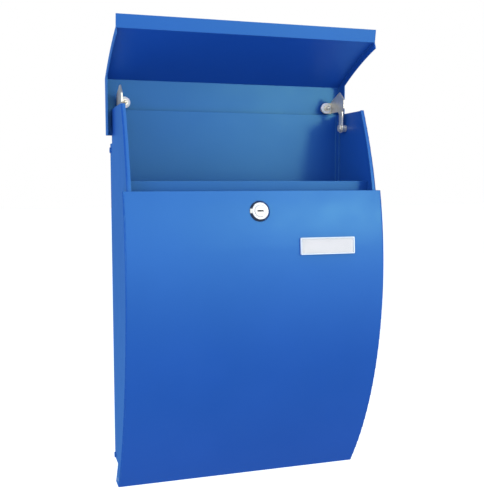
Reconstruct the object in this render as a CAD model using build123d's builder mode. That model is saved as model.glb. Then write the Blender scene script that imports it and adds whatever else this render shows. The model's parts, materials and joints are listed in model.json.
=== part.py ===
"""Wall-mounted sheet-steel letterbox with a curved door, a bent flip-up lid and a cam lock.

Millimetres. X runs along the width, -Y faces the street, +Z is up. The origin is the centre of the
four wall-screw holes, on the plane where the back meets the wall. The lid stands open at rest, and
the door is shut with its lock turned to the open position.
"""
import math
import os

from build123d import *

os.makedirs("parts", exist_ok=True)

# --- Overall sizes -----------------------------------------------------------------------------
body_width = 300.0  # outside of one side wall to outside of the other
body_height = 443.0  # side walls, bottom edge to top edge
top_depth = 98.0  # wall plane to the front corner of a side wall, at the top
bottom_depth = 72.0  # wall plane to the front corner of a side wall, at the bottom
front_bulge = 59.5  # how far the front arc stands out from its chord
sheet = 1.0  # steel sheet of every folded piece
bend = 1.0  # inner radius of the visible folds

# --- Wall fixing -------------------------------------------------------------------------------
wall_hole_radius = 3.5
wall_hole_spacing_x = 220.0
wall_hole_below_joggle = 23.0  # upper pair of holes below the joggle
wall_hole_height = 60.0  # lower pair of holes above the bottom edge

# --- Folds of the case -------------------------------------------------------------------------
front_flange = 5.0  # inward fold along the front edge of a side wall
back_flange = 12.0  # forward folds of the back panel
back_offset = 17.5  # wall plane to the front face of the back panel's upper part
joggle_below_top = 100.0  # top edge down to the start of the joggle
joggle_height = 20.0
side_relief_below_top = 41.0  # top edge down to the step where a side wall reaches the wall again
tray_lip = 10.0  # upward folds of the bottom plate
tray_setback = 6.0  # front edge of the bottom plate behind the front arc
drain_radius = 3.0
drain_spacing_x = 90.0
drain_spacing_y = 34.0
seat_gap = 0.05  # gap between pieces that are riveted or pushed together
side_pip_radius = 3.5  # pressed pips near the rear edge of a side wall
side_pip_height = 1.3
side_pip_setback = 4.0
side_pip_below_relief = 8.0
rivet_radius = 1.6
rivet_head_radius = 3.2
rivet_head_height = 1.0
rivet_head_taper = 20.0  # degrees

# --- Crossbar above the door -------------------------------------------------------------------
opening_height = 98.0  # top edge of the case down to the top edge of the door
crossbar_rise = 11.0  # top of the crossbar above the top edge of the door
crossbar_web = 17.0
crossbar_top = 12.0
crossbar_setback = 18.5  # front of the crossbar behind the front arc, at its top edge
crossbar_tab = 12.0

# --- Door --------------------------------------------------------------------------------------
door_gap = 1.0  # inside of the door ahead of the side walls' front arc
door_side_gap = 4.0  # inside of a door return to the outside of a side wall
door_drop = 15.0  # bottom edge of the door below the case
door_return = 17.0
door_bottom_return = 6.0
hinge_drop = 6.0  # door hinge axis below the case
hinge_setback = 9.3  # door hinge axis behind the outside of the door
hinge_ear_radius = 5.5
hinge_pin_radius = 2.5
hinge_washer_radius = 5.0
running_gap = 0.06  # radial gap of every turning fit
face_gap = 0.15  # end gap of every turning or sliding fit
through_cut = 4.0  # depth of a cut through the curved sheet, half of it outside

# --- Lid ---------------------------------------------------------------------------------------
lid_side_gap = 0.3  # inside of a lid flange outside the door's sides
lid_swing = 96.0  # degrees from open to shut
lid_wall_gap = 8.0  # outside of the upright roof plate to the wall, open
pivot_depth = 46.0
pivot_below_top = 19.0
roof_length = 69.0
roof_flange = 19.0
hood_flange = 9.0
crease_lap = 8.5  # fold of the shut lid ahead of the side walls' top corner
door_lap = 3.0  # lower edge of the shut lid ahead of the door
door_clearance = 4.0  # lower edge of the shut lid above the door
lip_length = 14.0
lip_angle = 60.0  # fold of the lip, away from the hood

# --- Lid arms and their pivots -------------------------------------------------------------------
arm_thickness = 2.0
arm_inset = 5.5  # side wall's inner face to the arm
arm_eye_radius = 6.0
arm_width = 9.0
arm_step = 3.0  # slanted steps between the strip and its neck
pivot_pin_radius = 2.5
pivot_spacer_radius = 4.5
pivot_cap_radius = 4.5
pivot_cap_height = 2.2
boss_height = 5.5
boss_radius = 5.0
foot_reach = 7.5  # arm to the screw's centre
foot_end_radius = 7.0
screw_above_top = 9.0
web_above_top = 2.5  # underside of the arm's neck above the case
neck_height = 14.0
neck_peak = 11.0
neck_front = 9.5  # neck ahead of the pivot axis
nylon_washer_radius = 7.0
nylon_washer_height = 1.4
nylon_washer_round = 0.45
screw_radius = 2.0
screw_head_radius = 3.9
screw_head_height = 2.2
screw_head_round = 1.1
cross_slot_width = 0.9
cross_slot_depth = 1.1

# --- Lock --------------------------------------------------------------------------------------
lock_below_door_top = 23.0
plug_radius = 6.6
barrel_wall = 2.4
barrel_flat_wall = 1.4  # wall left at each flat of the barrel
barrel_length = 19.0
lock_ring_lap = 3.3  # ring beyond the barrel, at the door
lock_ring_slant = 2.6  # how much narrower the ring is at its rim
lock_ring_height = 2.6
plug_stand = 0.5  # plug ahead of the ring's rim
key_slot_length = 7.4
key_slot_width = 1.7
key_slot_depth = 15.0
lock_nut_lap = 3.0  # corners of the nut beyond the barrel
lock_nut_height = 3.0
cam_thickness = 2.0
cam_width = 14.0
cam_reach = 27.0
cam_square = 6.0
cam_screw_radius = 2.0
cam_screw_hole = 4.0  # depth of its hole in the plug
cam_screw_head_radius = 4.0
cam_screw_head_height = 2.4
cam_washer_radius = 5.5
cam_washer_height = 0.8
wafer_count = 5
wafer_thickness = 0.8
wafer_pitch = 2.4
wafer_width = 3.6
wafer_inset = 0.9  # wafer's ends inside the plug's surface
wafer_key_height = 2.7  # opening for the key
wafer_first_depth = 3.5

# --- Name holder -------------------------------------------------------------------------------
holder_width = 68.5
holder_height = 19.6
holder_depth = 3.4
holder_base = 1.0
holder_rim = 1.4
holder_ledge = 2.6  # base beyond the window, at the end where the card slides out
holder_slot = 1.1  # through the base, beside the window
holder_corner = 1.0
holder_offset_x = 82.0
holder_below_door_top = 64.0
holder_stud_radius = 1.4
holder_stud_spacing = 48.0
holder_stud_length = 5.0
card_thickness = 0.5
card_gap = 0.15
window_thickness = 1.0
window_margin = 0.7  # holder beyond the window
push_nut_radius = 4.0
push_nut_height = 0.8

# --- Rubber pieces -------------------------------------------------------------------------------
buffer_radius = 2.4
buffer_height = 2.65  # centre above the lower edge of the crossbar
buffer_spacing = 180.0

# --- Places worked out from the sizes above ------------------------------------------------------
half_body = body_width / 2
inner_wall = half_body - sheet
wall_hole_top = joggle_below_top + joggle_height + wall_hole_below_joggle  # below the top edge
wall_hole_spacing_z = body_height - wall_hole_height - wall_hole_top
body_bottom = -(wall_hole_height + wall_hole_spacing_z / 2)
body_top = body_bottom + body_height
door_top = body_top - opening_height
door_bottom = body_bottom - door_drop
half_door = half_body + door_side_gap + sheet
half_lid = half_door + lid_side_gap + sheet

chord_y = bottom_depth - top_depth
chord = math.hypot(chord_y, body_height)
front_radius = (chord**2 / 4 + front_bulge**2) / (2 * front_bulge)
chord_mid_y = -(top_depth + bottom_depth) / 2
chord_mid_z = (body_top + body_bottom) / 2
arc_y = chord_mid_y + (front_radius - front_bulge) * body_height / chord
arc_z = chord_mid_z - (front_radius - front_bulge) * chord_y / chord

door_inner = front_radius + door_gap
door_outer = door_inner + sheet


def front_y(z, radius):
    """Y of the front arc of that radius at height z."""
    return arc_y - math.sqrt(radius**2 - (z - arc_z) ** 2)


def front_tilt(z):
    """Degrees by which the door's surface faces upward at height z."""
    return math.degrees(math.asin((z - arc_z) / door_outer))


def front_plane(x, z, lift=0.0):
    """Plane on the outside of the door at that place, with its normal pointing out of the door."""
    tilt = math.radians(front_tilt(z))
    outward = Vector(0, -math.cos(tilt), math.sin(tilt))
    origin = Vector(x, front_y(z, door_outer), z) + outward * lift
    return Plane(origin=origin, x_dir=(1, 0, 0), z_dir=outward)


def arc_band(bottom, top, inner, outer):
    """Sketch of the face between two front arcs, cut level at the bottom and the top."""
    middle = (bottom + top) / 2
    with BuildSketch() as band:
        with BuildLine():
            ThreePointArc(
                (front_y(bottom, outer), bottom),
                (front_y(middle, outer), middle),
                (front_y(top, outer), top),
            )
            Line((front_y(top, outer), top), (front_y(top, inner), top))
            ThreePointArc(
                (front_y(top, inner), top),
                (front_y(middle, inner), middle),
                (front_y(bottom, inner), bottom),
            )
            Line((front_y(bottom, inner), bottom), (front_y(bottom, outer), bottom))
        make_face()
    return band.sketch


def front_edges(piece, radius, x):
    """Edges of the piece that follow an arc of that radius, in the plane at x."""
    arcs = piece.edges().filter_by(GeomType.CIRCLE)
    return [arc for arc in arcs if math.isclose(arc.radius, radius) and math.isclose(arc.center().X, x)]


def round_fold(piece, y, z):
    """Rounds the outer edge, at that place, of a fold that runs along the width."""
    fold = piece.edges().filter_by(Axis.X).sort_by_distance((0, y, z))[0]
    fillet(fold, bend + sheet)


def save(piece, name):
    """Labels the finished piece and writes its STEP file."""
    piece.part.label = name
    export_step(piece.part, f"parts/{name}.step")


barrel_radius = plug_radius + barrel_wall
barrel_flat = plug_radius + barrel_flat_wall
lock_ring_radius = barrel_radius + lock_ring_lap
lock_nut_radius = barrel_radius + lock_nut_lap
wafer_height = 2 * (plug_radius - wafer_inset)
card_height = holder_height - 2 * (holder_rim + card_gap)
card_width = holder_width - holder_ledge - holder_rim - card_gap

# --- Axes ----------------------------------------------------------------------------------------
pivot_y = -pivot_depth
pivot_z = body_top - pivot_below_top
hinge_z = body_bottom - hinge_drop
hinge_y = front_y(hinge_z, door_outer) + hinge_setback
lock_z = door_top - lock_below_door_top
holder_z = door_top - holder_below_door_top
crossbar_z = door_top + crossbar_rise
crossbar_y = front_y(crossbar_z, front_radius) + crossbar_setback

# --- Back panel ----------------------------------------------------------------------------------
joggle_top = body_top - joggle_below_top
joggle_bottom = joggle_top - joggle_height
upper_front = -back_offset
back_x = inner_wall - seat_gap
rivet_places = [
    (upper_front - back_flange / 2, body_top - back_flange),
    (-back_flange / 2, joggle_bottom - back_flange),
    (-back_flange / 2, body_bottom + wall_hole_height),
    (crossbar_y + crossbar_tab / 2, crossbar_z - crossbar_web / 2),
]


def back_profile(depth):
    """Sketch of the joggled back panel's outline, depth thick towards the front."""
    slant = sheet * math.tan(math.atan2(back_offset - sheet, joggle_height) / 2)
    with BuildSketch() as profile:
        with BuildLine():
            Polyline(
                (0, body_bottom),
                (0, joggle_bottom),
                (upper_front + sheet, joggle_top),
                (upper_front + sheet, body_top),
                (upper_front + sheet - depth, body_top),
                (upper_front + sheet - depth, joggle_top - slant),
                (-depth, joggle_bottom - slant),
                (-depth, body_bottom),
                close=True,
            )
        make_face()
    return profile.sketch


with BuildPart() as back_panel:
    with BuildSketch(Plane.YZ):
        add(back_profile(sheet))
    extrude(amount=back_x, both=True)
    for side in (-1, 1):
        with BuildSketch(Plane.YZ.offset(side * back_x)):
            add(back_profile(back_flange))
        extrude(amount=-side * sheet)
        with BuildSketch(Plane.YZ.offset(side * back_x)):
            with Locations(*rivet_places[:3]):
                Circle(rivet_radius)
        extrude(amount=-side * sheet, mode=Mode.SUBTRACT)
    with BuildSketch(Plane.XZ):
        with GridLocations(wall_hole_spacing_x, wall_hole_spacing_z, 2, 2):
            Circle(wall_hole_radius)
    extrude(amount=sheet, mode=Mode.SUBTRACT)
save(back_panel, "back_panel")

# --- Side walls ----------------------------------------------------------------------------------
relief_z = body_top - side_relief_below_top
relief_y = -(back_offset - sheet)
ear_top = body_bottom + sheet


def side_wall(side):
    """One side wall with its front fold, hinge ear and pressed pips; side is -1 for left, 1 for right."""
    outer = side * half_body
    inner = side * inner_wall
    with BuildPart() as wall:
        with BuildSketch(Plane.YZ.offset(inner)):
            with BuildLine():
                middle = (body_bottom + body_top) / 2
                ThreePointArc(
                    (front_y(body_bottom, front_radius), body_bottom),
                    (front_y(middle, front_radius), middle),
                    (front_y(body_top, front_radius), body_top),
                )
                Polyline(
                    (front_y(body_top, front_radius), body_top),
                    (relief_y, body_top),
                    (relief_y, relief_z),
                    (0, relief_z),
                    (0, body_bottom),
                    (front_y(body_bottom, front_radius), body_bottom),
                )
            make_face()
            with Locations((hinge_y, hinge_z)):
                Circle(hinge_ear_radius)
            with Locations((hinge_y, (hinge_z + ear_top) / 2)):
                Rectangle(2 * hinge_ear_radius, ear_top - hinge_z)
        extrude(amount=side * sheet)
        with BuildSketch(Plane.YZ.offset(inner)):
            add(arc_band(body_bottom, body_top, front_radius - sheet, front_radius))
        extrude(amount=-side * (front_flange - sheet))
        fillet(front_edges(wall, front_radius, outer), bend + sheet)
        fillet(front_edges(wall, front_radius - sheet, inner), bend)
        with BuildSketch(Plane.YZ.offset(outer)):
            with Locations(
                (-side_pip_setback, body_bottom + side_pip_setback),
                (-side_pip_setback, relief_z - side_pip_below_relief),
            ):
                Circle(side_pip_radius)
        extrude(amount=side * side_pip_height)
        with BuildSketch(Plane.YZ.offset(inner)):
            with Locations(*rivet_places):
                Circle(rivet_radius)
        extrude(amount=side * sheet, mode=Mode.SUBTRACT)
    return wall


for side, name in ((-1, "left_side"), (1, "right_side")):
    save(side_wall(side), name)

# --- Bottom plate: a tray with three upward folds ------------------------------------------------
tray_rear = -(sheet + seat_gap)
tray_front = front_y(body_bottom, front_radius) + tray_setback
tray_half = back_x - sheet - seat_gap
tray_y = (tray_rear + tray_front) / 2
tray_flange_rear = -(back_flange + seat_gap)
with BuildPart() as bottom_plate:
    with BuildSketch(Plane.XY.offset(body_bottom)):
        with Locations((0, tray_y)):
            Rectangle(2 * tray_half, tray_rear - tray_front)
        with Locations((0, (tray_flange_rear + tray_front) / 2)):
            Rectangle(2 * back_x, tray_flange_rear - tray_front)
    extrude(amount=sheet)
    with BuildSketch(Plane.XY.offset(body_bottom)):
        with Locations((0, tray_rear - sheet / 2)):
            Rectangle(2 * tray_half, sheet)
        for side in (-1, 1):
            with Locations((side * (back_x - sheet / 2), (tray_flange_rear + tray_front) / 2)):
                Rectangle(sheet, tray_flange_rear - tray_front)
    extrude(amount=tray_lip)
    with BuildSketch(Plane.XY.offset(body_bottom)):
        with Locations((0, tray_y)):
            with GridLocations(drain_spacing_x, drain_spacing_y, 3, 2):
                Circle(drain_radius)
    extrude(amount=sheet, mode=Mode.SUBTRACT)
save(bottom_plate, "bottom_plate")

# --- Crossbar: the lock's cam turns up behind its web ---------------------------------------------
with BuildPart() as crossbar:
    with BuildSketch(Plane.YZ):
        with Locations((crossbar_y, crossbar_z)):
            Rectangle(sheet, crossbar_web, align=(Align.MIN, Align.MAX))
            Rectangle(crossbar_top, sheet, align=(Align.MIN, Align.MAX))
    extrude(amount=back_x, both=True)
    for side in (-1, 1):
        with BuildSketch(Plane.YZ.offset(side * back_x)):
            with Locations((crossbar_y, crossbar_z)):
                Rectangle(crossbar_tab, crossbar_web, align=(Align.MIN, Align.MAX))
        extrude(amount=-side * sheet)
        with BuildSketch(Plane.YZ.offset(side * back_x)):
            with Locations(rivet_places[3]):
                Circle(rivet_radius)
        extrude(amount=-side * sheet, mode=Mode.SUBTRACT)
save(crossbar, "crossbar")

# --- Rivets through the side walls, heads inside ---------------------------------------------------
rivet_inner = back_x - sheet - seat_gap
with BuildPart() as case_rivets:
    for side in (-1, 1):
        with BuildSketch(Plane.YZ.offset(side * half_body)):
            with Locations(*rivet_places):
                Circle(rivet_radius - seat_gap)
        extrude(amount=-side * (half_body - rivet_inner))
        with BuildSketch(Plane.YZ.offset(side * rivet_inner)):
            with Locations(*rivet_places):
                Circle(rivet_head_radius)
        extrude(amount=-side * rivet_head_height, taper=rivet_head_taper)
save(case_rivets, "case_rivets")

# --- Door ------------------------------------------------------------------------------------------
with BuildPart() as door:
    with BuildSketch(Plane.YZ):
        add(arc_band(door_bottom, door_top, door_inner, door_outer))
        with Locations((front_y(door_bottom, door_outer), door_bottom)):
            Rectangle(door_bottom_return, sheet, align=(Align.MIN, Align.MIN))
    extrude(amount=half_door, both=True)
    for side in (-1, 1):
        with BuildSketch(Plane.YZ.offset(side * half_door)):
            add(arc_band(door_bottom, door_top, door_outer - door_return, door_outer))
            with Locations((hinge_y, hinge_z)):
                Circle(hinge_pin_radius + running_gap, mode=Mode.SUBTRACT)
        extrude(amount=-side * sheet)
    for side in (-1, 1):
        fillet(front_edges(door, door_outer, side * half_door), bend + sheet)
        fillet(front_edges(door, door_inner, side * (half_door - sheet)), bend)
    with BuildSketch(front_plane(0, lock_z, through_cut / 2)):
        Circle(barrel_radius + seat_gap)
        Rectangle(2 * (barrel_flat + seat_gap), 2 * (barrel_radius + seat_gap), mode=Mode.INTERSECT)
    extrude(amount=-through_cut, mode=Mode.SUBTRACT)
    with BuildSketch(front_plane(holder_offset_x, holder_z, through_cut / 2)):
        with GridLocations(holder_stud_spacing, 0, 2, 1):
            Circle(holder_stud_radius + seat_gap)
    extrude(amount=-through_cut, mode=Mode.SUBTRACT)
save(door, "door")

# --- Door hinge pins and their washers -------------------------------------------------------------
for side, name in ((-1, "left"), (1, "right")):
    with BuildPart() as hinge_pin:
        with BuildSketch(Plane.YZ.offset(side * half_body)):
            with Locations((hinge_y, hinge_z)):
                Circle(hinge_pin_radius)
        extrude(amount=side * (half_door - half_body))
    save(hinge_pin, f"door_pin_{name}")
    with BuildPart() as hinge_washer:
        with BuildSketch(Plane.YZ.offset(side * (half_body + face_gap))):
            with Locations((hinge_y, hinge_z)):
                Circle(hinge_washer_radius)
                Circle(hinge_pin_radius + running_gap, mode=Mode.SUBTRACT)
        extrude(amount=side * (door_side_gap - 2 * face_gap))
    save(hinge_washer, f"door_washer_{name}")

# --- Lid: laid out shut, then turned open about its pivots ------------------------------------------
swing = math.radians(lid_swing)


def opened(y, z):
    """Where a point of the shut lid stands when the lid is open."""
    dy = y - pivot_y
    dz = z - pivot_z
    return (
        pivot_y + dy * math.cos(swing) + dz * math.sin(swing),
        pivot_z - dy * math.sin(swing) + dz * math.cos(swing),
    )


roof_outer = -lid_wall_gap
roof_reach = roof_outer - pivot_y
shut_crease_y = -top_depth - crease_lap
crease_rise = (pivot_y - shut_crease_y + roof_reach * math.cos(swing)) / math.sin(swing)
crease = Vector(roof_outer, pivot_z + crease_rise)
hood_end = Vector(*opened(front_y(door_top, door_outer) - door_lap, door_top + door_clearance))
hood = hood_end - crease
hood_along = hood.normalized()
hood_up = Vector(hood_along.Y, -hood_along.X)
hood_sag = door_outer - math.sqrt(door_outer**2 - hood.length**2 / 4)
lip_turn = math.radians(-lip_angle)
lip_along = Vector(
    hood_along.X * math.cos(lip_turn) - hood_along.Y * math.sin(lip_turn),
    hood_along.X * math.sin(lip_turn) + hood_along.Y * math.cos(lip_turn),
)
lip_up = Vector(lip_along.Y, -lip_along.X)


def hood_band(depth):
    """Sketch of the face under the curved hood, depth thick."""
    start = crease - hood_up * depth
    end = hood_end - hood_up * depth
    middle = (crease + hood_end) / 2 + hood_up * hood_sag
    with BuildSketch() as band:
        with BuildLine():
            ThreePointArc(crease, middle, hood_end)
            Line(hood_end, end)
            ThreePointArc(end, middle - hood_up * depth, start)
            Line(start, crease)
        make_face()
    return band.sketch


with BuildPart() as lid:
    with BuildSketch(Plane.YZ):
        add(hood_band(sheet))
        with Locations((crease.X, crease.Y)):
            Rectangle(sheet, roof_length, align=(Align.MAX, Align.MAX))
        with BuildLine():
            Polyline(
                hood_end,
                hood_end + lip_along * lip_length,
                hood_end + lip_along * lip_length - lip_up * sheet,
                hood_end - hood_up * sheet,
                close=True,
            )
        make_face()
    extrude(amount=half_lid, both=True)
    for side in (-1, 1):
        with BuildSketch(Plane.YZ.offset(side * half_lid)):
            add(hood_band(hood_flange))
            with Locations((crease.X, crease.Y)):
                Rectangle(roof_flange, roof_length, align=(Align.MAX, Align.MAX))
        extrude(amount=-side * sheet)
    round_fold(lid, crease.X, crease.Y)
    round_fold(lid, hood_end.X, hood_end.Y)
save(lid, "lid")

# --- Lid arms: a foot behind the roof plate, a neck over the case and an eye on the pivot ------------
foot_back = roof_outer - sheet - boss_height
foot_front = foot_back - arm_thickness
neck_bottom = body_top + web_above_top
neck_top = neck_bottom + neck_height
eye_front = pivot_y - arm_width / 2
eye_rear = pivot_y + arm_width / 2
arm_outer = inner_wall - arm_inset
arm_inner = arm_outer - arm_thickness
screw_x = arm_inner - foot_reach
screw_z = body_top + screw_above_top


def hinge_arm(side):
    """Zinc-plated arm bent from flat strip; side is -1 for left, 1 for right."""
    with BuildPart() as arm:
        with BuildSketch(Plane.YZ.offset(side * arm_inner)):
            with Locations((pivot_y, pivot_z)):
                Circle(arm_eye_radius)
            with BuildLine():
                Polyline(
                    (eye_front, pivot_z),
                    (eye_front, neck_bottom),
                    (pivot_y - neck_front, neck_bottom + arm_step),
                    (pivot_y - neck_front, neck_top),
                    (eye_rear, neck_top + neck_peak),
                    (foot_back, neck_top + sheet),
                    (foot_back, neck_bottom),
                    (eye_rear + arm_step, neck_bottom),
                    (eye_rear, neck_bottom - arm_step),
                    (eye_rear, pivot_z),
                    close=True,
                )
            make_face()
            with Locations((pivot_y, pivot_z)):
                Circle(pivot_pin_radius + running_gap, mode=Mode.SUBTRACT)
        extrude(amount=side * arm_thickness)
        with BuildSketch(Plane.XZ.offset(-foot_back)):
            with Locations((side * screw_x, screw_z)):
                Circle(foot_end_radius)
            with Locations((side * (screw_x + foot_reach / 2), screw_z)):
                Rectangle(foot_reach, 2 * foot_end_radius)
            with Locations((side * screw_x, screw_z)):
                Circle(screw_radius + seat_gap, mode=Mode.SUBTRACT)
        extrude(amount=arm_thickness)
    return arm


def turned(side, start_x, length, radius, bore=0.0):
    """Plain round piece on a lid pivot, from start_x towards the middle of the case."""
    with BuildPart() as piece:
        with BuildSketch(Plane.YZ.offset(side * start_x)):
            with Locations((pivot_y, pivot_z)):
                Circle(radius)
                if bore:
                    Circle(bore, mode=Mode.SUBTRACT)
        extrude(amount=-side * length)
    return piece


pivot_bore = pivot_pin_radius + running_gap
cap_start = arm_inner - face_gap
for side, name in ((-1, "left"), (1, "right")):
    save(hinge_arm(side), f"hinge_arm_{name}")
    pin_length = inner_wall - cap_start + pivot_cap_height
    save(turned(side, inner_wall, pin_length, pivot_pin_radius), f"pivot_pin_{name}")
    spacer_length = arm_inset - 2 * face_gap
    save(
        turned(side, inner_wall - face_gap, spacer_length, pivot_spacer_radius, pivot_bore),
        f"pivot_spacer_{name}",
    )
    save(
        turned(side, cap_start, pivot_cap_height, pivot_cap_radius, pivot_pin_radius),
        f"pivot_cap_{name}",
    )

# --- Fastening of the arms: welded bosses, screws and nylon washers ----------------------------------
washer_front = foot_front - nylon_washer_height
with BuildPart() as lid_bosses:
    with BuildSketch(Plane.XZ.offset(-roof_outer + sheet)):
        with Locations((-screw_x, screw_z), (screw_x, screw_z)):
            Circle(boss_radius)
    extrude(amount=boss_height)
    with BuildSketch(Plane.XZ.offset(-foot_back)):
        with Locations((-screw_x, screw_z), (screw_x, screw_z)):
            Circle(screw_radius)
    extrude(amount=-boss_height, mode=Mode.SUBTRACT)
save(lid_bosses, "lid_bosses")

with BuildPart() as nylon_washers:
    with BuildSketch(Plane.XZ.offset(-foot_front)):
        with Locations((-screw_x, screw_z), (screw_x, screw_z)):
            Circle(nylon_washer_radius)
            Circle(screw_radius + seat_gap, mode=Mode.SUBTRACT)
    extrude(amount=nylon_washer_height)
    fillet(nylon_washers.faces().sort_by(Axis.Y)[:2].edges(), nylon_washer_round)
save(nylon_washers, "nylon_washers")

with BuildPart() as arm_screws:
    with BuildSketch(Plane.XZ.offset(-foot_back + boss_height - sheet)):
        with Locations((-screw_x, screw_z), (screw_x, screw_z)):
            Circle(screw_radius)
    extrude(amount=boss_height - sheet + arm_thickness + nylon_washer_height)
    with BuildSketch(Plane.XZ.offset(-washer_front)):
        with Locations((-screw_x, screw_z), (screw_x, screw_z)):
            Circle(screw_head_radius)
    extrude(amount=screw_head_height)
    fillet(arm_screws.faces().sort_by(Axis.Y)[:2].edges(), screw_head_round)
    with BuildSketch(Plane.XZ.offset(-washer_front + screw_head_height)):
        with Locations((-screw_x, screw_z), (screw_x, screw_z)):
            Rectangle(screw_head_radius, cross_slot_width)
            Rectangle(cross_slot_width, screw_head_radius)
    extrude(amount=-cross_slot_depth, mode=Mode.SUBTRACT)
save(arm_screws, "arm_screws")

# --- Lock: a threaded barrel through the door, with a turning plug and its cam -------------------------
lock_face = front_plane(0, lock_z)


def behind(depth):
    """Plane square to the lock's axis, that far behind the outside of the door."""
    return lock_face.offset(-depth)


plug_bore = plug_radius + running_gap
lock_ring_taper = math.degrees(math.atan(lock_ring_slant / lock_ring_height))
with BuildPart() as lock_barrel:
    with BuildSketch(behind(-seat_gap)):
        Circle(lock_ring_radius)
    extrude(amount=lock_ring_height, taper=lock_ring_taper)
    with BuildSketch(behind(-seat_gap)):
        Circle(barrel_radius)
        Rectangle(2 * barrel_flat, 2 * barrel_radius, mode=Mode.INTERSECT)
    extrude(amount=-barrel_length)
    with BuildSketch(behind(-2 * lock_ring_height)):
        Circle(plug_bore)
    extrude(amount=-(barrel_length + 3 * lock_ring_height), mode=Mode.SUBTRACT)
save(lock_barrel, "lock_barrel")

nut_seat = sheet + lock_nut_radius**2 / (2 * door_inner) + seat_gap
with BuildPart() as lock_nut:
    with BuildSketch(behind(nut_seat)):
        RegularPolygon(lock_nut_radius, 6)
        Circle(barrel_radius + seat_gap, mode=Mode.SUBTRACT)
    extrude(amount=-lock_nut_height)
save(lock_nut, "lock_nut")

barrel_end = barrel_length - seat_gap
cam_front = barrel_end + face_gap
cam_rear = cam_front + cam_thickness
plug_front = -(lock_ring_height + plug_stand)
with BuildPart() as lock_plug:
    with BuildSketch(behind(plug_front)):
        Circle(plug_radius)
    extrude(amount=-(cam_front - plug_front))
    with BuildSketch(behind(cam_front)):
        Rectangle(cam_square, cam_square)
    extrude(amount=-cam_thickness)
    with BuildSketch(behind(plug_front)):
        Rectangle(key_slot_length, key_slot_width)
    extrude(amount=-key_slot_depth, mode=Mode.SUBTRACT)
    for number in range(wafer_count):
        with BuildSketch(behind(wafer_first_depth + number * wafer_pitch)):
            Rectangle(wafer_width + 2 * face_gap, wafer_height + 2 * face_gap)
        extrude(amount=-(wafer_thickness + 2 * face_gap), mode=Mode.SUBTRACT)
    with BuildSketch(behind(cam_rear)):
        Circle(cam_screw_radius)
    extrude(amount=cam_screw_hole, mode=Mode.SUBTRACT)
save(lock_plug, "lock_plug")

with BuildPart() as lock_wafers:
    for number in range(wafer_count):
        with BuildSketch(behind(wafer_first_depth + number * wafer_pitch + face_gap)):
            Rectangle(wafer_width, wafer_height)
            Rectangle(wafer_width - 2 * wafer_thickness, wafer_key_height, mode=Mode.SUBTRACT)
        extrude(amount=-wafer_thickness)
save(lock_wafers, "lock_wafers")

with BuildPart() as lock_cam:
    with BuildSketch(behind(cam_front)):
        Circle(cam_width / 2)
        with Locations((cam_reach / 2, 0)):
            Rectangle(cam_reach, cam_width)
        Rectangle(cam_square + 2 * seat_gap, cam_square + 2 * seat_gap, mode=Mode.SUBTRACT)
    extrude(amount=-cam_thickness)
save(lock_cam, "lock_cam")

with BuildPart() as cam_washer:
    with BuildSketch(behind(cam_rear)):
        Circle(cam_washer_radius)
        Circle(cam_screw_radius + seat_gap, mode=Mode.SUBTRACT)
    extrude(amount=-cam_washer_height)
save(cam_washer, "cam_washer")

with BuildPart() as cam_screw:
    with BuildSketch(behind(cam_rear + cam_washer_height)):
        Circle(cam_screw_radius)
    extrude(amount=cam_thickness + cam_washer_height)
    with BuildSketch(behind(cam_rear + cam_washer_height)):
        RegularPolygon(cam_screw_head_radius, 6)
    extrude(amount=-cam_screw_head_height)
save(cam_screw, "cam_screw")

# --- Name holder: base with rims, a clear window and a card that slides out to the right ---------------
holder_face = front_plane(holder_offset_x, holder_z, seat_gap)
window_width = holder_width - window_margin - holder_ledge
window_height = holder_height - 2 * window_margin
window_x = (window_margin - holder_ledge) / 2
pocket_height = card_height + 2 * card_gap
ledge_x = (holder_width - holder_ledge) / 2
with BuildPart() as name_holder:
    with BuildSketch(holder_face):
        Rectangle(holder_width, holder_height)
    extrude(amount=holder_depth)
    fillet(name_holder.edges().filter_by(Axis((0, 0, 0), holder_face.z_dir)), holder_corner)
    with BuildSketch(holder_face.offset(holder_base)):
        with Locations((holder_rim / 2, 0)):
            Rectangle(holder_width - holder_rim, pocket_height)
        with Locations((ledge_x, 0)):
            Rectangle(holder_ledge, holder_height)
    extrude(amount=holder_depth, mode=Mode.SUBTRACT)
    with BuildSketch(holder_face.offset(holder_depth - window_thickness)):
        with Locations((window_x, 0)):
            Rectangle(window_width, window_height)
    extrude(amount=window_thickness, mode=Mode.SUBTRACT)
    with BuildSketch(holder_face):
        with Locations((ledge_x - (holder_ledge - holder_slot) / 2, 0)):
            Rectangle(holder_slot, pocket_height)
    extrude(amount=holder_base, mode=Mode.SUBTRACT)
    with BuildSketch(holder_face):
        with GridLocations(holder_stud_spacing, 0, 2, 1):
            Circle(holder_stud_radius)
    extrude(amount=-holder_stud_length)
save(name_holder, "name_holder")

with BuildPart() as name_window:
    with BuildSketch(holder_face.offset(holder_depth - window_thickness)):
        with Locations((window_x, 0)):
            Rectangle(window_width - 2 * seat_gap, window_height - 2 * seat_gap)
    extrude(amount=window_thickness)
save(name_window, "name_window")

with BuildPart() as name_card:
    with BuildSketch(holder_face.offset(holder_base + card_gap)):
        with Locations((holder_width / 2 - holder_ledge - card_width / 2, 0)):
            Rectangle(card_width, card_height)
    extrude(amount=card_thickness)
save(name_card, "name_card")

push_nut_seat = sheet + push_nut_radius**2 / (2 * door_inner) + 2 * seat_gap
with BuildPart() as push_nuts:
    with BuildSketch(holder_face.offset(-push_nut_seat)):
        with GridLocations(holder_stud_spacing, 0, 2, 1):
            Circle(push_nut_radius)
            Circle(holder_stud_radius, mode=Mode.SUBTRACT)
    extrude(amount=-push_nut_height)
save(push_nuts, "push_nuts")

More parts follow.
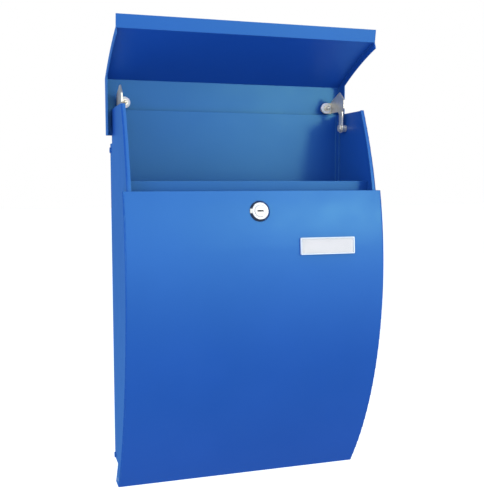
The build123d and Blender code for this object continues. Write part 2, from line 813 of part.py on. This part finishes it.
# --- Rubber buffers on the crossbar, which the door closes against --------------------------------------
buffer_z = crossbar_z - crossbar_web + buffer_height
buffer_front = front_y(buffer_z + buffer_radius, door_inner) + 2 * face_gap
with BuildPart() as door_buffers:
    with BuildSketch(Plane.XZ.offset(-crossbar_y)):
        with Locations((-buffer_spacing / 2, buffer_z), (buffer_spacing / 2, buffer_z)):
            Circle(buffer_radius)
    extrude(amount=crossbar_y - buffer_front)
save(door_buffers, "door_buffers")

print("hinge axis", round(hinge_y, 3), round(hinge_z, 3))
print("pivot axis", round(pivot_y, 3), round(pivot_z, 3))
print("lock", lock_face.origin, lock_face.z_dir)
print("crease", crease, "hood end", hood_end)
print("front arc", round(front_radius, 2), "about", round(arc_y, 2), round(arc_z, 2))
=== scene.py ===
"""Looks of the wall letterbox: powder-coated sheet steel, zinc-plated arms, chrome lock, name holder."""
import json
import math
import bpy
from mathutils import Euler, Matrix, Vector


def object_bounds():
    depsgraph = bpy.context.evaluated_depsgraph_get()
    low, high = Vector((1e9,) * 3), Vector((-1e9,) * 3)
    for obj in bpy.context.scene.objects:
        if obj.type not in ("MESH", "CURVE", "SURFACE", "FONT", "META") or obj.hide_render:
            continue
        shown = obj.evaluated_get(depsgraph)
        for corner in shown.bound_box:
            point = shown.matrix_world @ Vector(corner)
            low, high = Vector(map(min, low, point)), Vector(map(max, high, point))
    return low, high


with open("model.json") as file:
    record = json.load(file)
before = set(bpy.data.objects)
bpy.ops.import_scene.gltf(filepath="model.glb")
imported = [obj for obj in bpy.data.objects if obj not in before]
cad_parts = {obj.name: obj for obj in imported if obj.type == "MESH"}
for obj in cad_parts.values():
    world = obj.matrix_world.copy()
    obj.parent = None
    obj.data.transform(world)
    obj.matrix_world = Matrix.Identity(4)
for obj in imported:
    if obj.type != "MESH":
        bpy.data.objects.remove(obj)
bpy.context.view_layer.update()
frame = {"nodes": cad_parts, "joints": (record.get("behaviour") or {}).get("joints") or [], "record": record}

NODES = frame["nodes"]
JOINTS = {joint["name"]: joint for joint in frame["joints"]}

# --- Camera, placed in the letterbox's own frame --------------------------------------------------
IMAGE_LONG_SIDE = 497  # pixels
FOCAL_PIXELS = 749.8
SENSOR = 36.0  # millimetres, along the image's long side
CAMERA_AZIMUTH = -17.11  # degrees, from the left
CAMERA_TILT = 5.33  # degrees, looking down
CAMERA_PLACE = Vector((-0.2705, -0.9503, 0.1790))


def add_camera():
    """Camera at the photograph's viewing angle."""
    data = bpy.data.cameras.new("camera")
    data.sensor_width = SENSOR
    data.lens = FOCAL_PIXELS / IMAGE_LONG_SIDE * SENSOR
    camera = bpy.data.objects.new("camera", data)
    camera.location = CAMERA_PLACE
    camera.rotation_euler = Euler((math.radians(90 - CAMERA_TILT), 0, math.radians(CAMERA_AZIMUTH)))
    bpy.context.scene.collection.objects.link(camera)
    bpy.context.scene.camera = camera


# --- Small helpers for node materials ------------------------------------------------------------
EDGE_SAMPLES = 4
EDGE_START = 0.995  # agreement of plain and rounded normals where an edge starts to show
EDGE_FULL = 0.85  # and where it shows in full
BLEND_SHARE = 0.12  # share of fine detail that is added to a mask


class Shader:
    """A material being built: its node tree, its Principled shader and its object coordinates."""

    def __init__(self, name, **values):
        self.material = bpy.data.materials.new(name)
        self.material.use_nodes = True
        self.tree = self.material.node_tree
        self.bsdf = self.tree.nodes["Principled BSDF"]
        for socket, value in values.items():
            self.bsdf.inputs[socket.replace("_", " ")].default_value = value
        self.coordinates = self.tree.nodes.new("ShaderNodeTexCoord").outputs["Object"]
        self.rounded = None

    def node(self, kind, **settings):
        """New node of that kind, with its settings."""
        made = self.tree.nodes.new(kind)
        for key, value in settings.items():
            setattr(made, key, value)
        return made

    def link(self, output, target):
        """Joins an output to an input."""
        self.tree.links.new(output, target)

    def noise(self, scale, detail=3.0, roughness=0.5, stretch=None):
        """Noise in object space; scale is in features per metre."""
        made = self.node("ShaderNodeTexNoise")
        made.inputs["Scale"].default_value = scale
        made.inputs["Detail"].default_value = detail
        made.inputs["Roughness"].default_value = roughness
        source = self.coordinates
        if stretch:
            mapping = self.node("ShaderNodeMapping")
            mapping.inputs["Scale"].default_value = stretch
            self.link(source, mapping.inputs["Vector"])
            source = mapping.outputs["Vector"]
        self.link(source, made.inputs["Vector"])
        return made.outputs["Fac"]

    def ramp(self, factor, low, high, start=0.3, end=0.7):
        """Colour that runs from low to high as the factor rises."""
        made = self.node("ShaderNodeValToRGB")
        made.color_ramp.elements[0].position = start
        made.color_ramp.elements[0].color = (*low, 1)
        made.color_ramp.elements[1].position = end
        made.color_ramp.elements[1].color = (*high, 1)
        self.link(factor, made.inputs["Fac"])
        return made.outputs["Color"]

    def colour(self, factor, low, high, start=0.3, end=0.7):
        """Base colour that runs from low to high as the factor rises."""
        self.link(self.ramp(factor, low, high, start, end), self.bsdf.inputs["Base Color"])

    def span(self, factor, low, high):
        """Value that runs from low to high as the factor runs from 0 to 1."""
        made = self.node("ShaderNodeMapRange")
        made.inputs["To Min"].default_value = low
        made.inputs["To Max"].default_value = high
        self.link(factor, made.inputs["Value"])
        return made.outputs["Result"]

    def edged(self, colour, edge_colour, radius, amount):
        """Base colour that turns to edge_colour along sharp edges, found by a rounded normal."""
        rounded = self.node("ShaderNodeBevel", samples=EDGE_SAMPLES)
        rounded.inputs["Radius"].default_value = radius
        plain = self.node("ShaderNodeNewGeometry").outputs["Normal"]
        alike = self.node("ShaderNodeVectorMath", operation="DOT_PRODUCT")
        self.link(rounded.outputs["Normal"], alike.inputs[0])
        self.link(plain, alike.inputs[1])
        edge = self.node("ShaderNodeMapRange")
        edge.inputs["From Min"].default_value = EDGE_START
        edge.inputs["From Max"].default_value = EDGE_FULL
        edge.inputs["To Max"].default_value = amount
        self.link(alike.outputs["Value"], edge.inputs["Value"])
        mixed = self.node("ShaderNodeMix", data_type="RGBA")
        self.link(edge.outputs["Result"], mixed.inputs["Factor"])
        self.link(colour, mixed.inputs["A"])
        mixed.inputs["B"].default_value = (*edge_colour, 1)
        self.link(mixed.outputs["Result"], self.bsdf.inputs["Base Color"])
        self.rounded = rounded.outputs["Normal"]

    def blend(self, detail, mask):
        """A little of the detail, added to the mask."""
        made = self.node("ShaderNodeMath", operation="MULTIPLY_ADD")
        made.inputs[1].default_value = BLEND_SHARE
        self.link(detail, made.inputs[0])
        self.link(mask, made.inputs[2])
        return made.outputs["Value"]

    def roughness(self, factor, low, high):
        """Roughness between two values."""
        self.link(self.span(factor, low, high), self.bsdf.inputs["Roughness"])

    def bump(self, *layers):
        """Bump from (height, depth in metres, strength) layers, each on top of the one before."""
        normal = self.rounded
        for height, depth, strength in layers:
            made = self.node("ShaderNodeBump")
            made.inputs["Distance"].default_value = depth
            made.inputs["Strength"].default_value = strength
            self.link(height, made.inputs["Height"])
            if normal is not None:
                self.link(normal, made.inputs["Normal"])
            normal = made.outputs["Normal"]
        self.link(normal, self.bsdf.inputs["Normal"])


# --- Materials -----------------------------------------------------------------------------------
PLUG_SLOT_SHADE_START = 0.00005  # metres behind the plug's face, where the painted shade of the key slot starts
PLUG_SLOT_SHADE_FADE = 0.0004  # metres over which the painted shade of the key slot fades in


def powder_coat():
    """Blue semi-gloss powder coat: orange peel, faint clouding, and lighter sharp edges that are partly a
    thinner coat and partly a painted highlight.
    """
    m = Shader("blue_powder_coat", Specular_IOR_Level=0.75, Specular_Tint=(0.34, 0.98, 0.72, 1))
    clouds = m.ramp(m.noise(7.0, 4.0), (0.008, 0.067, 0.360), (0.011, 0.075, 0.390))
    # The lighter cyan-blue edge colour is partly a thinner coat and partly a painted highlight along the
    # folds.
    m.edged(clouds, (0.06, 0.22, 0.55), radius=0.0009, amount=0.6)
    m.roughness(m.noise(45.0, 5.0), 0.33, 0.41)
    m.bump((m.noise(380.0, 2.0), 0.00008, 0.35), (m.noise(1500.0, 2.0), 0.00002, 0.3))
    return m.material


def zinc_plate():
    """Passivated zinc plate: pale, slightly yellow, with a faint grain and duller patches."""
    m = Shader("zinc_plate", Metallic=0.65)
    patches = m.ramp(m.noise(90.0, 4.0), (0.74, 0.68, 0.52), (0.86, 0.83, 0.74))
    m.edged(patches, (0.80, 0.78, 0.70), radius=0.0005, amount=0.7)
    m.roughness(m.noise(400.0, 5.0), 0.30, 0.48)
    m.bump((m.noise(1600.0, 4.0, stretch=(1, 1, 0.15)), 0.00002, 0.5))
    return m.material


def nylon():
    """Moulded white nylon."""
    m = Shader("white_nylon", Subsurface_Weight=0.1, Subsurface_Scale=0.001)
    m.colour(m.noise(200.0), (0.86, 0.86, 0.84), (0.93, 0.93, 0.92))
    m.roughness(m.noise(700.0), 0.35, 0.5)
    m.bump((m.noise(2500.0), 0.00001, 0.4))
    return m.material


def lock_chrome():
    """Polished chrome with fine polishing marks."""
    m = Shader("lock_chrome", Metallic=1.0)
    m.colour(m.noise(300.0), (0.30, 0.32, 0.35), (0.38, 0.40, 0.43))
    m.roughness(m.noise(900.0, 6.0), 0.09, 0.19)
    m.bump((m.noise(3000.0, 4.0), 0.00001, 0.25))
    return m.material


def plug_chrome():
    """The same chrome on the plug's face, with painted shade inside the key slot: near black, rough and not
    metallic there.
    """
    m = Shader("plug_chrome")
    inward = -Vector(JOINTS["lock_turn"]["axis"]).normalized()
    if inward.y < 0:
        inward.negate()
    face = min(vertex.co.dot(inward) for vertex in NODES["lock_plug"].data.vertices)
    along = m.node("ShaderNodeVectorMath", operation="DOT_PRODUCT")
    along.inputs[1].default_value = inward
    m.link(m.coordinates, along.inputs[0])
    depth = m.node("ShaderNodeMapRange")
    depth.inputs["From Min"].default_value = face + PLUG_SLOT_SHADE_START
    depth.inputs["From Max"].default_value = face + PLUG_SLOT_SHADE_START + PLUG_SLOT_SHADE_FADE
    m.link(along.outputs["Value"], depth.inputs["Value"])
    # Painted shade: the recess of the key slot is coloured near black by its depth behind the face.
    slot_shade = depth.outputs["Result"]
    m.colour(slot_shade, (0.34, 0.35, 0.37), (0.015, 0.014, 0.013), start=0.0, end=1.0)
    m.roughness(m.blend(m.noise(900.0, 6.0), slot_shade), 0.10, 0.75)
    m.link(m.span(slot_shade, 1.0, 0.0), m.bsdf.inputs["Metallic"])
    m.bump((m.noise(3000.0, 4.0), 0.00001, 0.25))
    return m.material


def brass():
    """Stamped brass of the lock's wafers, in a deep brown-gold tone well below fresh brass."""
    m = Shader("brass", Metallic=0.8)
    m.colour(m.noise(400.0), (0.16, 0.11, 0.05), (0.28, 0.20, 0.09))
    m.roughness(m.noise(900.0), 0.25, 0.4)
    m.bump((m.noise(2500.0), 0.00001, 0.3))
    return m.material


def holder_plastic():
    """Glossy pale plastic of the name holder."""
    m = Shader("holder_plastic", Coat_Weight=0.2)
    m.colour(m.noise(120.0), (0.70, 0.77, 0.78), (0.78, 0.84, 0.85))
    m.roughness(m.noise(600.0), 0.2, 0.32)
    m.bump((m.noise(2500.0), 0.00001, 0.3))
    return m.material


def clear_window():
    """Clear acrylic sheet with a trace of haze."""
    m = Shader("clear_window", IOR=1.49)
    m.colour(m.noise(60.0), (0.90, 0.94, 0.96), (0.97, 0.98, 1.0))
    m.roughness(m.noise(300.0), 0.04, 0.10)
    m.link(m.span(m.noise(90.0, 4.0), 0.10, 0.16), m.bsdf.inputs["Alpha"])
    return m.material


def card():
    """White card with paper fibres."""
    m = Shader("white_card", Specular_IOR_Level=0.3)
    m.colour(m.noise(900.0, 6.0, 0.7), (0.66, 0.62, 0.55), (0.73, 0.69, 0.62))
    m.roughness(m.noise(900.0), 0.6, 0.8)
    m.bump((m.noise(2200.0, 5.0, 0.7), 0.00002, 0.5))
    return m.material


def rubber():
    """Black moulded rubber."""
    m = Shader("black_rubber")
    m.colour(m.noise(300.0), (0.012, 0.012, 0.012), (0.03, 0.03, 0.03))
    m.roughness(m.noise(900.0), 0.55, 0.75)
    m.bump((m.noise(1800.0), 0.00003, 0.5))
    return m.material


MATERIALS = {
    "blue_coat": powder_coat(),
    "zinc": zinc_plate(),
    "nylon": nylon(),
    "lock_chrome": lock_chrome(),
    "lock_brass": brass(),
    "holder": holder_plastic(),
    "window": clear_window(),
    "card": card(),
    "rubber": rubber(),
}
MATERIALS["blue_coat_lid"] = MATERIALS["blue_coat"]


def dress_cad_nodes():
    """Gives every CAD node its slot's material; the rivets are coated over and the plug has its own."""
    for part in frame["record"]["subparts"]:
        node = NODES[part["node"]]
        node.data.materials.clear()
        node.data.materials.append(MATERIALS[part["material_slot"]])
    NODES["lock_plug"].data.materials[0] = plug_chrome()
    NODES["case_rivets"].data.materials[0] = MATERIALS["blue_coat"]


SOFT_EDGES = {  # metres
    "hinge_arm_left": 0.0005,
    "hinge_arm_right": 0.0005,
    "lock_barrel": 0.0003,
    "lock_nut": 0.0004,
    "lock_cam": 0.0003,
    "cam_screw": 0.0004,
    "name_holder": 0.0003,
    "door_pin_left": 0.0003,
    "door_pin_right": 0.0003,
    "pivot_cap_left": 0.0005,
    "pivot_cap_right": 0.0005,
}
WELD_DISTANCE = 1e-6
BEVEL_SEGMENTS = 2
BEVEL_ANGLE = 30  # degrees; gentler edges stay as they are


def soften(name, width):
    """Rounds a CAD node's sharp edges."""
    node = NODES[name]
    weld = node.modifiers.new("weld", "WELD")
    weld.merge_threshold = WELD_DISTANCE
    bevel = node.modifiers.new("bevel", "BEVEL")
    bevel.width = width
    bevel.segments = BEVEL_SEGMENTS
    bevel.limit_method = "ANGLE"
    bevel.angle_limit = math.radians(BEVEL_ANGLE)
    bevel.harden_normals = False
    bevel.use_clamp_overlap = True


# --- Studio --------------------------------------------------------------------------------------
FLOOR_SIZE = 40.0
FLOOR_GLOW = 0.3  # lifts the floor to the white of the surroundings
FLOOR_DROP = 0.45  # the letterbox hangs on a wall, well above the floor
LIGHT_COLOUR = (1.0, 0.97, 0.85)
LIGHTS = (  # name, azimuth and elevation as in outward(), metres away, (width, height), watts
    ("key", 27, 15, 2.4, (0.30, 0.30), 8),
    ("softbox", 20, 24, 2.2, (1.5, 1.1), 0.5),
    ("fill", -62, 14, 2.4, (1.4, 1.4), 17),
    ("ceiling", 0, 68, 1.8, (1.6, 1.0), 6),
)
EVEN_LIGHT = (  # colour of the world as light, from below to above
    (0, (0.96, 1.03, 1.24)),
    (1, (0.74, 0.84, 1.08)),
)
SHINE_TOWARD = (22, 19)  # azimuth and elevation of the bright patch in reflections
SHINE = (  # colour of the world in reflections, from straight behind to the bright patch
    (0.0, (0.15, 0.42, 0.75)),
    (0.35, (0.06, 0.10, 0.20)),
    (0.80, (0.11, 0.15, 0.23)),
    (0.90, (1.10, 1.10, 1.10)),
    (1.0, (2.60, 2.60, 2.60)),
)


def area_light(name, place, target, size, power):
    """Rectangular light that points at the target."""
    data = bpy.data.lights.new(name, "AREA")
    data.shape = "RECTANGLE"
    data.size, data.size_y = size
    data.energy = power
    data.color = LIGHT_COLOUR
    light = bpy.data.objects.new(name, data)
    light.location = place
    light.rotation_euler = (Vector(target) - Vector(place)).to_track_quat("-Z", "Y").to_euler()
    bpy.context.scene.collection.objects.link(light)


def studio():
    """Pale floor, pale surroundings and four soft lights."""
    low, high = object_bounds()
    centre = (low + high) / 2
    bpy.ops.mesh.primitive_plane_add(size=FLOOR_SIZE, location=(0, 0, low.z - FLOOR_DROP))
    floor = bpy.context.object
    floor.name = "floor"
    m = Shader("pale_floor", Roughness=0.9, Specular_IOR_Level=0.1)
    m.colour(m.noise(2.0), (0.93, 0.93, 0.93), (0.95, 0.95, 0.95))
    m.bsdf.inputs["Emission Color"].default_value = (1, 1, 1, 1)
    m.bsdf.inputs["Emission Strength"].default_value = FLOOR_GLOW
    floor.data.materials.append(m.material)
    floor.visible_glossy = False
    floor.visible_diffuse = False
    floor.visible_shadow = False
    sky()
    for name, azimuth, elevation, distance, size, power in LIGHTS:
        place = centre + distance * outward(azimuth, elevation)
        area_light(name, place, centre, size, power)


def outward(azimuth, elevation):
    """Direction from the letterbox, azimuth degrees right of the street and elevation degrees up."""
    around = math.radians(azimuth)
    up = math.radians(elevation)
    return Vector((math.sin(around) * math.cos(up), -math.cos(around) * math.cos(up), math.sin(up)))


def sky():
    """White to look at, nearly even as light, and bright only at the front right in reflections."""
    world = bpy.data.worlds.new("world")
    bpy.context.scene.world = world
    world.use_nodes = True
    tree = world.node_tree

    def node(kind, **settings):
        made = tree.nodes.new(kind)
        for key, value in settings.items():
            setattr(made, key, value)
        return made

    def fade(toward, *stops):
        """Colour by a ray's direction: stops run from 0, straight away, to 1, straight toward."""
        along = node("ShaderNodeVectorMath", operation="DOT_PRODUCT")
        along.inputs[1].default_value = toward
        tree.links.new(direction.outputs["Generated"], along.inputs[0])
        share = node("ShaderNodeMapRange")
        share.inputs["From Min"].default_value = -1
        tree.links.new(along.outputs["Value"], share.inputs["Value"])
        ramp = node("ShaderNodeValToRGB")
        while len(ramp.color_ramp.elements) < len(stops):
            ramp.color_ramp.elements.new(0.5)
        for element, (position, colour) in zip(ramp.color_ramp.elements, stops):
            element.position = position
            element.color = (*colour, 1)
        tree.links.new(share.outputs["Result"], ramp.inputs["Fac"])
        return ramp.outputs["Color"]

    def choose(when, otherwise, colour=None):
        """The colour, or white without one, for the rays that when picks, and otherwise for the rest."""
        mixed = node("ShaderNodeMix", data_type="RGBA")
        mixed.inputs["B"].default_value = (1, 1, 1, 1)
        tree.links.new(when, mixed.inputs["Factor"])
        tree.links.new(otherwise, mixed.inputs["A"])
        if colour:
            tree.links.new(colour, mixed.inputs["B"])
        return mixed.outputs["Result"]

    direction = node("ShaderNodeTexCoord")
    rays = node("ShaderNodeLightPath")
    light = fade((0, 0, 1), *EVEN_LIGHT)
    shine = fade(outward(*SHINE_TOWARD), *SHINE)
    colour = choose(rays.outputs["Is Glossy Ray"], light, shine)
    colour = choose(rays.outputs["Is Camera Ray"], colour)
    tree.links.new(colour, tree.nodes["Background"].inputs["Color"])


add_camera()
dress_cad_nodes()
for name, width in SOFT_EDGES.items():
    soften(name, width)
studio()

bpy.context.scene.view_settings.view_transform = "Standard"
